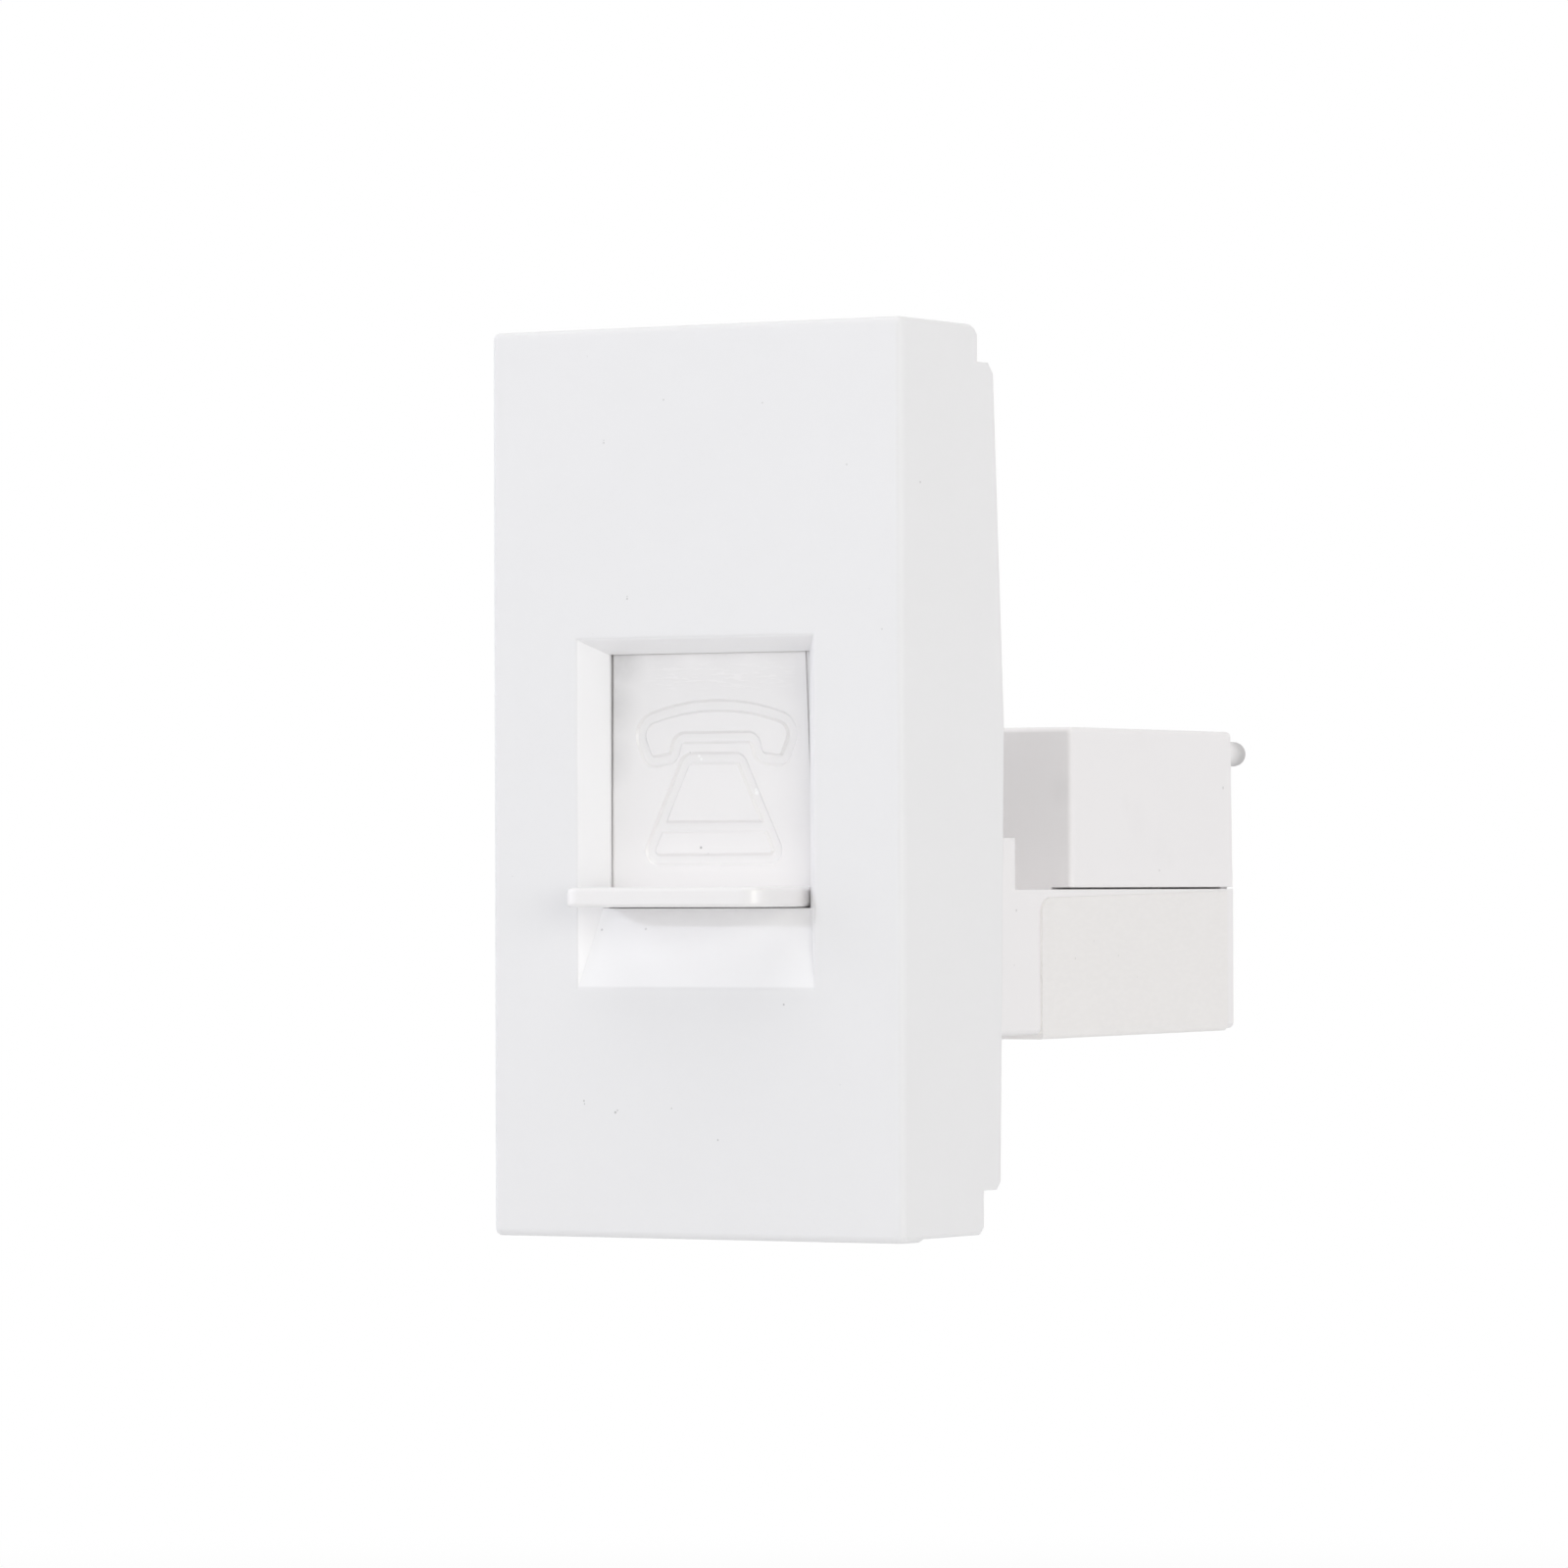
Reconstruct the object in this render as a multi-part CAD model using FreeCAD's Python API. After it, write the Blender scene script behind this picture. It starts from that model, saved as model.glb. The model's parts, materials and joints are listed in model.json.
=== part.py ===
import FreeCAD, Part
import math
import os

# Telephone wall socket: a one-module insert with a sliding shutter and a plug-in jack behind it.
# Millimetres. X is to the right seen from the front, Y goes back into the wall, Z is up.
# The origin is the centre of the front face.

V = FreeCAD.Vector

# Front plate
PLATE_WIDTH = 23.6
PLATE_HEIGHT = 45.0
FACE_WALL = 1.6
SIDE_WALL = 1.2
END_WALL = 1.3
EDGE_RADIUS = 0.35
TOP_SEAT_DEPTH = 7.5
TOP_SEAT_HEIGHT = 1.85
TOP_CHAMFER = 0.5
TOP_REAR_DEPTH = 9.1
CREST_DEPTH = 10.1
CREST_Z = 2.7
BOTTOM_REAR_DEPTH = 9.6
BOTTOM_SEAT_DEPTH = 7.9
BOTTOM_SEAT_HEIGHT = 2.35
BOTTOM_CHAMFER = 0.4
LIP_DEPTH = 1.8
LIP_STEP = 0.17

# Window in the front wall
OPENING_WIDTH = 11.56
OPENING_TOP = 6.38
OPENING_BOTTOM = -6.22
BEVEL_DEPTH = 1.4
BEVEL_WIDTH = 1.02
TOP_BEVEL = 0.71
RAMP_DEPTH = 1.1
RAMP_HEIGHT = 4.03
WINDOW_EDGE_RADIUS = 0.25

# Shutter
SHUTTER_GAP = 0.07
PANEL_RAISE = 0.06
PANEL_LEFT_TOP_GAP = 0.1
PANEL_LEFT_OVERLAP = 0.05
PANEL_RIGHT_TOP_GAP = 0.45
PANEL_RIGHT_OVERLAP = 0.1
FLANGE_THICKNESS = 1.47
FLANGE_OVERLAP = 0.45
SHUTTER_TOP_OVERLAP = 1.6
SHUTTER_BOTTOM_OVERLAP = 0.65
LEDGE_SIDE_GAP = 0.08
LEDGE_THICKNESS = 0.98
LEDGE_REACH = 3.5
LEDGE_CORNER = 1.1
LEDGE_EDGE = 0.2
LEDGE_CLEARANCE = 0.06
EAR_HEIGHT = 1.3

# Engraved telephone sign on the shutter
GROOVE_WIDTH = 0.62
GROOVE_FLOOR_WIDTH = 0.4
GROOVE_DEPTH = 0.12
HANDSET = [(0, 4.35, 12.0), (4.65, 2.9, 0.9), (3.88, 1.0, 0.45), (2.45, 1.2, 0.45), (2.2, 2.2, 0.45)]
HANDSET_X = 0.24
STAND = [(1.55, 1.18, 0.45), (3.9, -3.82, 0.45)]
STAND_BAR_Z = -2.2
STAND_X = 0.08

# Guides and return springs
GUIDE_CLEARANCE = 0.2
GUIDE_RIB = 0.4
RIB_SINK = 0.4
CHANNEL_CLEARANCE = 0.3
SPRING_WIRE = 0.16
SPRING_DIAMETER = 1.5
SPRING_TURNS = 20
SPRING_SEAT_GAP = 0.05
SPRING_SEAT_HEIGHT = 1.82
STOP_HEIGHT = 1.5
STOP_GAP = 0.05

# Carrier that holds the jack
CARRIER_SKIN = 1.2
CARRIER_CLEARANCE = 0.2
CARRIER_RIM = 1.1
CARRIER_RIM_DEPTH = 3.1
CARRIER_WINDOW_MARGIN = 0.25
COLLAR_WALL = 0.95
COLLAR_DEPTH = 7.3
RIB_THICKNESS = 1.2
SNAP_WIDTH = 6.0
SNAP_HEIGHT = 0.45
SNAP_CLEARANCE = 0.15

# Jack
JACK_WIDTH = 14.5
BLOCK_DEPTH = 12.3
BLOCK_TOP = 7.8
BLOCK_BOTTOM = -8.3
JACK_CLEARANCE = 0.15
CAVITY_WIDTH = 9.9
CAVITY_TOP = 2.75
CAVITY_FLOOR = -4.1
CAVITY_REAR_WALL = 2.0
LATCH_SLOT_WIDTH = 6.3
LATCH_SLOT_HEIGHT = 2.0
LATCH_TONGUE_WIDTH = 3.3
LATCH_LIP_DEPTH = 0.9
LATCH_LIP_START = 0.85
FRONT_SILL = 1.2
INSERT_THICKNESS = 3.0
INSERT_CLEARANCE = 0.1
TONGUE_WIDTH = 6.4
TONGUE_THICKNESS = 1.4
TONGUE_SLIT = 0.5
TONGUE_UNDERCUT = 0.8
TONGUE_ROOT = 3.3
CATCH_HEIGHT = 0.9
CATCH_LENGTH = 2.2
TUB_REAR = 43.45
TUB_TOP = -5.35
TUB_BOTTOM = -12.75
TUB_WALL = 1.1
TUB_EDGE = 0.3
EAR_TAB_WIDTH = 1.05
EAR_TAB_LENGTH = 2.6
EAR_TAB_TOP = -2.72
EAR_TAB_EDGE = 0.3

# Circuit board, terminal block and cap
BOARD_WIDTH = 10.8
BOARD_THICKNESS = 1.0
BOARD_TOP = -7.4
BOARD_END_GAP = 0.3
BOARD_RIB = 1.2
DECK_THICKNESS = 1.2
DECK_DROP = 0.05
DECK_CLEARANCE = 0.1
SHELF_WIDTH = 0.6
TOWER_WIDTH = 11.0
TOWER_FRONT_GAP = 0.6
TOWER_LENGTH = 11.0
TOWER_TOP = 1.2
TOWER_SNAP = 0.45
TOWER_SNAP_LENGTH = 3.0
CHANNEL_WIDTH = 1.0
CHANNEL_DEPTH = 3.4
BLADE_COUNT = 4
BLADE_PITCH = 2.7
BLADE_STAGGER = 5.0
BLADE_FIRST = 2.9
BLADE_WIDTH = 2.0
BLADE_THICKNESS = 0.5
BLADE_SLOT = 0.3
BLADE_TOP_GAP = 0.8
BLADE_TAIL_WIDTH = 0.8
BLADE_TAIL_LENGTH = 0.6
BLADE_CLEARANCE = 0.05
TAIL_HOLE = 1.1
CAP_LENGTH = 18.0
CAP_REAR_STEP = 0.05
CAP_REAR_LEAN = 0.2
CAP_TOP = 3.0
CAP_WALL = 1.2
CAP_GAP = 0.1
CAP_FOOT_GAP = 0.3
CAP_EDGE = 0.3
CABLE_WIDTH = 5.2
CABLE_ARCH_TOP = 0.2
LUG_DIAMETER = 1.3
LUG_LENGTH = 2.7
LUG_TIP_RADIUS = 0.55
LUG_X = 6.2
LUG_Z = 1.85

# Contact wires
WIRE_COUNT = 4
WIRE_PITCH = 1.02
WIRE_DIAMETER = 0.45
WIRE_SLOT = 0.6
WIRE_HOLE = 0.6
WIRE_BEND = 0.4
WIRE_REST_DEPTH = 1.1
WIRE_FRONT_REACH = 1.8
WIRE_TIP_Z = -0.9
WIRE_TIP_REACH = 0.4
COMB_DEPTH = 0.8
COMB_TOP = 0.5
WIRE_TAIL = 0.6

# Wiring label
LABEL_LENGTH = 20.3
LABEL_REAR_MARGIN = 1.15
LABEL_THICKNESS = 0.12
LABEL_SAG = 0.13
LABEL_TOP_FRONT = -5.78
LABEL_TOP_REAR = -5.45
LABEL_CORNER = 0.9


# Derived places shared by more than one piece
FACE_BACK = FACE_WALL
PANEL_FRONT = FACE_BACK + SHUTTER_GAP
FLANGE_FRONT = PANEL_FRONT + PANEL_RAISE
FLANGE_BACK = FLANGE_FRONT + FLANGE_THICKNESS
SKIN_FRONT = FLANGE_BACK + CHANNEL_CLEARANCE
SKIN_BACK = SKIN_FRONT + CARRIER_SKIN
LEDGE_BOTTOM = OPENING_BOTTOM + LEDGE_CLEARANCE
LEDGE_TOP = LEDGE_BOTTOM + LEDGE_THICKNESS
SHUTTER_TOP = OPENING_TOP + SHUTTER_TOP_OVERLAP
SHUTTER_BOTTOM = OPENING_BOTTOM - SHUTTER_BOTTOM_OVERLAP
HOLLOW_HALF_WIDTH = PLATE_WIDTH / 2 - SIDE_WALL
HOLLOW_HALF_HEIGHT = PLATE_HEIGHT / 2 - END_WALL
FLANGE_HALF = OPENING_WIDTH / 2 + FLANGE_OVERLAP
EAR_REACH = HOLLOW_HALF_WIDTH - GUIDE_CLEARANCE
EAR_TOP = SHUTTER_BOTTOM + EAR_HEIGHT
RIB_START = FLANGE_HALF + GUIDE_CLEARANCE
RIB_END = RIB_START + GUIDE_RIB
SPRING_X = (RIB_END + HOLLOW_HALF_WIDTH) / 2
SPRING_Y = (FACE_BACK + SKIN_FRONT) / 2
SPRING_SEAT_Z = HOLLOW_HALF_HEIGHT - SPRING_SEAT_HEIGHT
CARRIER_HALF_WIDTH = HOLLOW_HALF_WIDTH - CARRIER_CLEARANCE
CARRIER_HALF_HEIGHT = HOLLOW_HALF_HEIGHT - CARRIER_CLEARANCE
RIM_BACK = SKIN_FRONT + CARRIER_RIM_DEPTH
COLLAR_BACK = SKIN_BACK + COLLAR_DEPTH
JACK_HALF = JACK_WIDTH / 2
BLOCK_BACK = SKIN_BACK + BLOCK_DEPTH
TUB_FRONT = COLLAR_BACK + JACK_CLEARANCE
TUB_HALF_INSIDE = JACK_HALF - TUB_WALL
TUB_FLOOR = TUB_BOTTOM + TUB_WALL
TUB_INSIDE_REAR = TUB_REAR - TUB_WALL
CAP_REAR_FOOT = TUB_REAR - CAP_REAR_STEP
CAP_REAR_TOP = CAP_REAR_FOOT - CAP_REAR_LEAN
CAP_FRONT = CAP_REAR_FOOT - CAP_LENGTH
LABEL_REAR = TUB_REAR - LABEL_REAR_MARGIN
LABEL_FRONT = LABEL_REAR - LABEL_LENGTH
INSERT_TOP = CAVITY_FLOOR - INSERT_CLEARANCE
INSERT_BOTTOM = INSERT_TOP - INSERT_THICKNESS
INSERT_HALF = CAVITY_WIDTH / 2 - INSERT_CLEARANCE
INSERT_FRONT = SKIN_BACK + FRONT_SILL + INSERT_CLEARANCE
INSERT_WALL_FRONT = BLOCK_BACK - CAVITY_REAR_WALL
WIRE_LEVEL = INSERT_TOP - WIRE_REST_DEPTH
WIRE_LEG_Y = INSERT_WALL_FRONT - WIRE_DIAMETER
BOARD_BOTTOM = BOARD_TOP - BOARD_THICKNESS
BOARD_FRONT = TUB_FRONT + TUB_WALL + BOARD_END_GAP
BOARD_REAR = TUB_INSIDE_REAR - BOARD_END_GAP
DECK_TOP = TUB_TOP - DECK_DROP
DECK_BOTTOM = DECK_TOP - DECK_THICKNESS
DECK_FRONT = BLOCK_BACK + DECK_CLEARANCE
DECK_REAR = TUB_INSIDE_REAR - DECK_CLEARANCE
DECK_HALF = TUB_HALF_INSIDE - DECK_CLEARANCE
TOWER_FRONT = CAP_FRONT + CAP_WALL + TOWER_FRONT_GAP
TOWER_REAR = TOWER_FRONT + TOWER_LENGTH
CAP_BOTTOM = TUB_TOP + CAP_GAP

# How far a cutting tool reaches past the wall it cuts
OVER = 1.0


def box(x0, x1, y0, y1, z0, z1):
    return Part.makeBox(x1 - x0, y1 - y0, z1 - z0, V(x0, y0, z0))


def centred_box(half_width, y0, y1, z0, z1):
    return box(-half_width, half_width, y0, y1, z0, z1)


def face_of(points):
    return Part.Face(Part.makePolygon(points + [points[0]]))


def prism_along_x(points_yz, x0, x1):
    profile = face_of([V(x0, y, z) for y, z in points_yz])
    return profile.extrude(V(x1 - x0, 0, 0))


def prism_along_y(points_xz, y0, y1):
    profile = face_of([V(x, y0, z) for x, z in points_xz])
    return profile.extrude(V(0, y1 - y0, 0))


def prism_along_z(points_xy, z0, z1):
    profile = face_of([V(x, y, z0) for x, y in points_xy])
    return profile.extrude(V(0, 0, z1 - z0))


def joined(solids):
    result = solids[0].fuse(solids[1:])
    return result.removeSplitter()


def mirrored(shape):
    return shape.mirror(V(0, 0, 0), V(1, 0, 0))


def both_sides(shape):
    return [shape, mirrored(shape)]


def edges_where(shape, wanted):
    return [edge for edge in shape.Edges if wanted(edge.BoundBox)]


def at(low, high, value):
    return abs(low - value) < 0.001 and abs(high - value) < 0.001


def filleted(shape, radius, wanted):
    return shape.makeFillet(radius, edges_where(shape, wanted))


def corner_arc(before, corner, after, radius):
    """Start, end and centre of the arc that rounds a corner, the heading into it, its axis and its turn."""
    incoming = (corner - before).normalize()
    outgoing = (after - corner).normalize()
    turn = incoming.getAngle(outgoing)
    setback = radius * math.tan(turn / 2)
    inward = (outgoing - incoming).normalize()
    centre = corner + inward * (radius / math.cos(turn / 2))
    arc_start = corner - incoming * setback
    arc_end = corner + outgoing * setback
    return arc_start, arc_end, centre, incoming, incoming.cross(outgoing), turn


def rod_along(points, radius, bend):
    """A round rod along straight runs joined by tangent arcs."""
    edges = []
    start = points[0]
    for before, corner, after in zip(points, points[1:], points[2:]):
        arc_start, arc_end, centre, incoming, axis, turn = corner_arc(before, corner, after, bend)
        arc_middle = centre + (corner - centre).normalize() * bend
        edges.append(Part.makeLine(start, arc_start))
        edges.append(Part.Arc(arc_start, arc_middle, arc_end).toShape())
        start = arc_end
    edges.append(Part.makeLine(start, points[-1]))
    first_direction = (points[1] - points[0]).normalize()
    section = Part.Wire(Part.makeCircle(radius, points[0], first_direction))
    return Part.Wire(edges).makePipeShell([section], True, True)


def plate_outline():
    """The side view of the plate's walls: seats for the wall frame at both ends, a crest between."""
    top = PLATE_HEIGHT / 2
    bottom = -top
    top_seat = top - TOP_SEAT_HEIGHT
    bottom_seat = bottom + BOTTOM_SEAT_HEIGHT
    return [
        (0, top),
        (TOP_SEAT_DEPTH - TOP_CHAMFER, top),
        (TOP_SEAT_DEPTH, top - TOP_CHAMFER),
        (TOP_SEAT_DEPTH, top_seat),
        (TOP_REAR_DEPTH - TOP_CHAMFER, top_seat),
        (TOP_REAR_DEPTH, top_seat - TOP_CHAMFER),
        (CREST_DEPTH, CREST_Z),
        (BOTTOM_REAR_DEPTH, bottom_seat + BOTTOM_CHAMFER),
        (BOTTOM_REAR_DEPTH - BOTTOM_CHAMFER, bottom_seat),
        (BOTTOM_SEAT_DEPTH, bottom_seat),
        (BOTTOM_SEAT_DEPTH, bottom + LIP_STEP + BOTTOM_CHAMFER),
        (BOTTOM_SEAT_DEPTH - BOTTOM_CHAMFER, bottom + LIP_STEP),
        (LIP_DEPTH + LIP_STEP, bottom + LIP_STEP),
        (LIP_DEPTH, bottom),
        (0, bottom),
    ]


def window_cutter():
    """The bevelled recess with its ramp, and the opening behind it."""
    half = OPENING_WIDTH / 2
    outer = half + BEVEL_WIDTH
    plan = prism_along_z(
        [(-outer, -OVER), (outer, -OVER), (outer, 0), (half, BEVEL_DEPTH), (-half, BEVEL_DEPTH), (-outer, 0)],
        OPENING_BOTTOM - RAMP_HEIGHT,
        OPENING_TOP + TOP_BEVEL,
    )
    side = prism_along_x(
        [
            (-OVER, OPENING_TOP + TOP_BEVEL),
            (0, OPENING_TOP + TOP_BEVEL),
            (BEVEL_DEPTH, OPENING_TOP),
            (BEVEL_DEPTH, OPENING_BOTTOM),
            (RAMP_DEPTH, OPENING_BOTTOM),
            (0, OPENING_BOTTOM - RAMP_HEIGHT),
            (-OVER, OPENING_BOTTOM - RAMP_HEIGHT),
        ],
        -outer,
        outer,
    )
    opening = centred_box(half, RAMP_DEPTH / 2, FACE_BACK + OVER, OPENING_BOTTOM, OPENING_TOP)
    return plan.common(side).fuse(opening)


def guide_ribs():
    """Behind the face: guides for the shutter's flange, stops under its ears and seats for its springs."""
    front = FACE_BACK - RIB_SINK
    rib_top = HOLLOW_HALF_HEIGHT + END_WALL / 2
    wall_middle = HOLLOW_HALF_WIDTH + SIDE_WALL / 2
    guide = box(RIB_START, RIB_END, front, SKIN_FRONT, OPENING_TOP, rib_top)
    stop_top = SHUTTER_BOTTOM - STOP_GAP
    stop = box(FLANGE_HALF, wall_middle, front, SKIN_FRONT, stop_top - STOP_HEIGHT, stop_top)
    spring_seat = centred_box(wall_middle, front, SKIN_FRONT, SPRING_SEAT_Z, rib_top)
    return both_sides(guide) + both_sides(stop) + [spring_seat]


def snap_pocket():
    half = SNAP_WIDTH / 2 + SNAP_CLEARANCE
    top = CARRIER_HALF_HEIGHT + SNAP_HEIGHT + SNAP_CLEARANCE
    bottom = HOLLOW_HALF_HEIGHT - END_WALL / 2
    return centred_box(half, SKIN_BACK - SNAP_CLEARANCE, RIM_BACK + SNAP_CLEARANCE, bottom, top)


def front_plate():
    half_width = PLATE_WIDTH / 2
    body = prism_along_x(plate_outline(), -half_width, half_width)
    body = filleted(
        body,
        EDGE_RADIUS,
        lambda b: at(b.YMin, b.YMax, 0) and b.XMax - b.XMin < 0.001,
    )
    body = filleted(
        body,
        EDGE_RADIUS,
        lambda b: at(b.YMin, b.YMax, 0) and b.ZMax - b.ZMin < 0.001,
    )
    hollow = centred_box(HOLLOW_HALF_WIDTH, FACE_BACK, CREST_DEPTH + OVER,
                         -HOLLOW_HALF_HEIGHT, HOLLOW_HALF_HEIGHT)
    body = joined([body.cut(hollow)] + guide_ribs())
    pocket = snap_pocket()
    body = body.cut([window_cutter(), pocket, pocket.mirror(V(0, 0, 0), V(0, 0, 1))])
    window_side = OPENING_WIDTH / 2 + BEVEL_WIDTH
    return filleted(
        body,
        WINDOW_EDGE_RADIUS,
        lambda b: at(b.YMin, b.YMax, 0) and b.XMax < window_side + 0.001 and b.XMin > -window_side - 0.001
        and b.ZMax < OPENING_TOP + TOP_BEVEL + 0.001 and b.ZMin > OPENING_BOTTOM - RAMP_HEIGHT - 0.001,
    )


def groove_section(point, heading):
    """A trapezoid standing across a stroke, wide at the face and narrow at the groove's floor."""
    wide = GROOVE_WIDTH / 2
    narrow = GROOVE_FLOOR_WIDTH / 2
    over = GROOVE_DEPTH / 4
    lift = (wide - narrow) * over / GROOVE_DEPTH
    across = heading.cross(V(0, 1, 0)).normalize()
    corners = [(-wide - lift, -over), (wide + lift, -over), (narrow, GROOVE_DEPTH), (-narrow, GROOVE_DEPTH)]
    return face_of([point + across * u + V(0, depth, 0) for u, depth in corners])


def groove_run(start, end):
    run = end - start
    return groove_section(start, run).extrude(run)


def groove_loop(right_half):
    """A closed groove with rounded corners, from the corners on and right of the middle, clockwise."""
    corners = right_half + [(-x, z, radius) for x, z, radius in reversed(right_half) if x > 0]
    points = [V(x, PANEL_FRONT, z) for x, z, radius in corners]
    afters = points[1:] + points[:1]
    solids = []
    ends = []
    starts = []
    for before, corner, after, (x, z, radius) in zip(points[-1:] + points, points, afters, corners):
        arc_start, arc_end, centre, incoming, axis, turn = corner_arc(before, corner, after, radius)
        solids.append(groove_section(arc_start, incoming).revolve(centre, axis, math.degrees(turn)))
        starts.append(arc_start)
        ends.append(arc_end)
    for arc_end, next_start in zip(ends, starts[1:] + starts[:1]):
        solids.append(groove_run(arc_end, next_start))
    return solids


def moved(solids, x):
    return [solid.translated(V(x, 0, 0)) for solid in solids]


def telephone_sign():
    top_x, top_z, radius = STAND[0]
    foot_x, foot_z, radius = STAND[1]
    bar_x = top_x + (foot_x - top_x) * (top_z - STAND_BAR_Z) / (top_z - foot_z)
    bar = groove_run(V(-bar_x, PANEL_FRONT, STAND_BAR_Z), V(bar_x, PANEL_FRONT, STAND_BAR_Z))
    return moved(groove_loop(HANDSET), HANDSET_X) + moved(groove_loop(STAND) + [bar], STAND_X)


def shutter():
    half = OPENING_WIDTH / 2
    panel = prism_along_y(
        [
            (-half - PANEL_LEFT_OVERLAP, LEDGE_BOTTOM),
            (half + PANEL_RIGHT_OVERLAP, LEDGE_BOTTOM),
            (half - PANEL_RIGHT_TOP_GAP, SHUTTER_TOP),
            (-half + PANEL_LEFT_TOP_GAP, SHUTTER_TOP),
        ],
        PANEL_FRONT,
        FLANGE_FRONT + FLANGE_THICKNESS / 2,
    )
    flange = centred_box(FLANGE_HALF, FLANGE_FRONT, FLANGE_BACK, SHUTTER_BOTTOM, SHUTTER_TOP)
    ears = centred_box(EAR_REACH, FLANGE_FRONT, FLANGE_BACK, SHUTTER_BOTTOM, EAR_TOP)
    ledge = centred_box(half - LEDGE_SIDE_GAP, -LEDGE_REACH, FLANGE_FRONT, LEDGE_BOTTOM, LEDGE_TOP)
    ledge = filleted(
        ledge,
        LEDGE_CORNER,
        lambda b: at(b.YMin, b.YMax, -LEDGE_REACH) and b.XMax - b.XMin < 0.001,
    )
    ledge = filleted(
        ledge,
        LEDGE_EDGE,
        lambda b: b.ZMax - b.ZMin < 0.001 and b.YMin < FLANGE_FRONT - 0.001,
    )
    body = joined([flange, panel, ears, ledge])
    return body.cut(joined(telephone_sign())).removeSplitter()


def shutter_spring(side):
    free_length = SPRING_SEAT_Z - EAR_TOP - 2 * SPRING_SEAT_GAP - SPRING_WIRE
    pitch = free_length / SPRING_TURNS
    radius = (SPRING_DIAMETER - SPRING_WIRE) / 2
    helix = Part.makeHelix(pitch, free_length, radius)
    section = Part.Wire(Part.makeCircle(SPRING_WIRE / 2, V(radius, 0, 0), V(0, 1, 0)))
    coil = Part.Wire(helix.Edges).makePipeShell([section], True, True)
    coil.translate(V(side * SPRING_X, SPRING_Y, EAR_TOP + SPRING_SEAT_GAP + SPRING_WIRE / 2))
    return coil


def jack_carrier():
    skin = centred_box(CARRIER_HALF_WIDTH, SKIN_FRONT, SKIN_BACK, -CARRIER_HALF_HEIGHT, CARRIER_HALF_HEIGHT)
    frame = centred_box(CARRIER_HALF_WIDTH, SKIN_FRONT, RIM_BACK, -CARRIER_HALF_HEIGHT, CARRIER_HALF_HEIGHT)
    frame_inside = centred_box(CARRIER_HALF_WIDTH - CARRIER_RIM, SKIN_FRONT - OVER, RIM_BACK + OVER,
                               -CARRIER_HALF_HEIGHT + CARRIER_RIM, CARRIER_HALF_HEIGHT - CARRIER_RIM)
    rim = frame.cut(frame_inside)
    hole_half = JACK_HALF + JACK_CLEARANCE
    hole_top = BLOCK_TOP + JACK_CLEARANCE
    hole_bottom = BLOCK_BOTTOM - JACK_CLEARANCE
    collar = centred_box(hole_half + COLLAR_WALL, SKIN_FRONT, COLLAR_BACK,
                         hole_bottom - COLLAR_WALL, hole_top + COLLAR_WALL)
    upper_rib = box(-RIB_THICKNESS / 2, RIB_THICKNESS / 2, SKIN_FRONT, RIM_BACK,
                    hole_top, CARRIER_HALF_HEIGHT - CARRIER_RIM / 2)
    lower_rib = box(-RIB_THICKNESS / 2, RIB_THICKNESS / 2, SKIN_FRONT, RIM_BACK,
                    -CARRIER_HALF_HEIGHT + CARRIER_RIM / 2, hole_bottom)
    snap_profile = [
        (SKIN_BACK, CARRIER_HALF_HEIGHT - CARRIER_RIM / 2),
        (SKIN_BACK, CARRIER_HALF_HEIGHT),
        (RIM_BACK - SNAP_HEIGHT, CARRIER_HALF_HEIGHT + SNAP_HEIGHT),
        (RIM_BACK, CARRIER_HALF_HEIGHT + SNAP_HEIGHT),
        (RIM_BACK, CARRIER_HALF_HEIGHT - CARRIER_RIM / 2),
    ]
    snap = prism_along_x(snap_profile, -SNAP_WIDTH / 2, SNAP_WIDTH / 2)
    lower_snap = snap.mirror(V(0, 0, 0), V(0, 0, 1))
    body = joined([skin, rim, collar, upper_rib, lower_rib, snap, lower_snap])
    margin = CARRIER_WINDOW_MARGIN
    window = centred_box(OPENING_WIDTH / 2 + margin, SKIN_FRONT - OVER, SKIN_BACK + OVER,
                         OPENING_BOTTOM - margin, OPENING_TOP + margin)
    jack_hole = centred_box(hole_half, SKIN_BACK, COLLAR_BACK + OVER, hole_bottom, hole_top)
    return body.cut([window, jack_hole])


def jack_ear():
    """A small upright ear on the tub's rim, just behind the block."""
    ear = box(JACK_HALF - EAR_TAB_WIDTH, JACK_HALF, BLOCK_BACK - TUB_WALL / 2, BLOCK_BACK + EAR_TAB_LENGTH,
              TUB_TOP - TUB_WALL / 2, EAR_TAB_TOP)
    return filleted(
        ear,
        EAR_TAB_EDGE,
        lambda b: at(b.YMin, b.YMax, BLOCK_BACK + EAR_TAB_LENGTH) and b.ZMax > EAR_TAB_TOP - 0.001,
    )


def jack_catch():
    """The wedge on the flexible tongue that snaps behind the carrier's collar."""
    catch_front = COLLAR_BACK + JACK_CLEARANCE
    profile = [
        (catch_front, BLOCK_TOP - TONGUE_THICKNESS / 2),
        (catch_front, BLOCK_TOP + CATCH_HEIGHT),
        (catch_front + CATCH_LENGTH, BLOCK_TOP),
        (catch_front + CATCH_LENGTH, BLOCK_TOP - TONGUE_THICKNESS / 2),
    ]
    return prism_along_x(profile, -TONGUE_WIDTH / 2, TONGUE_WIDTH / 2)


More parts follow.
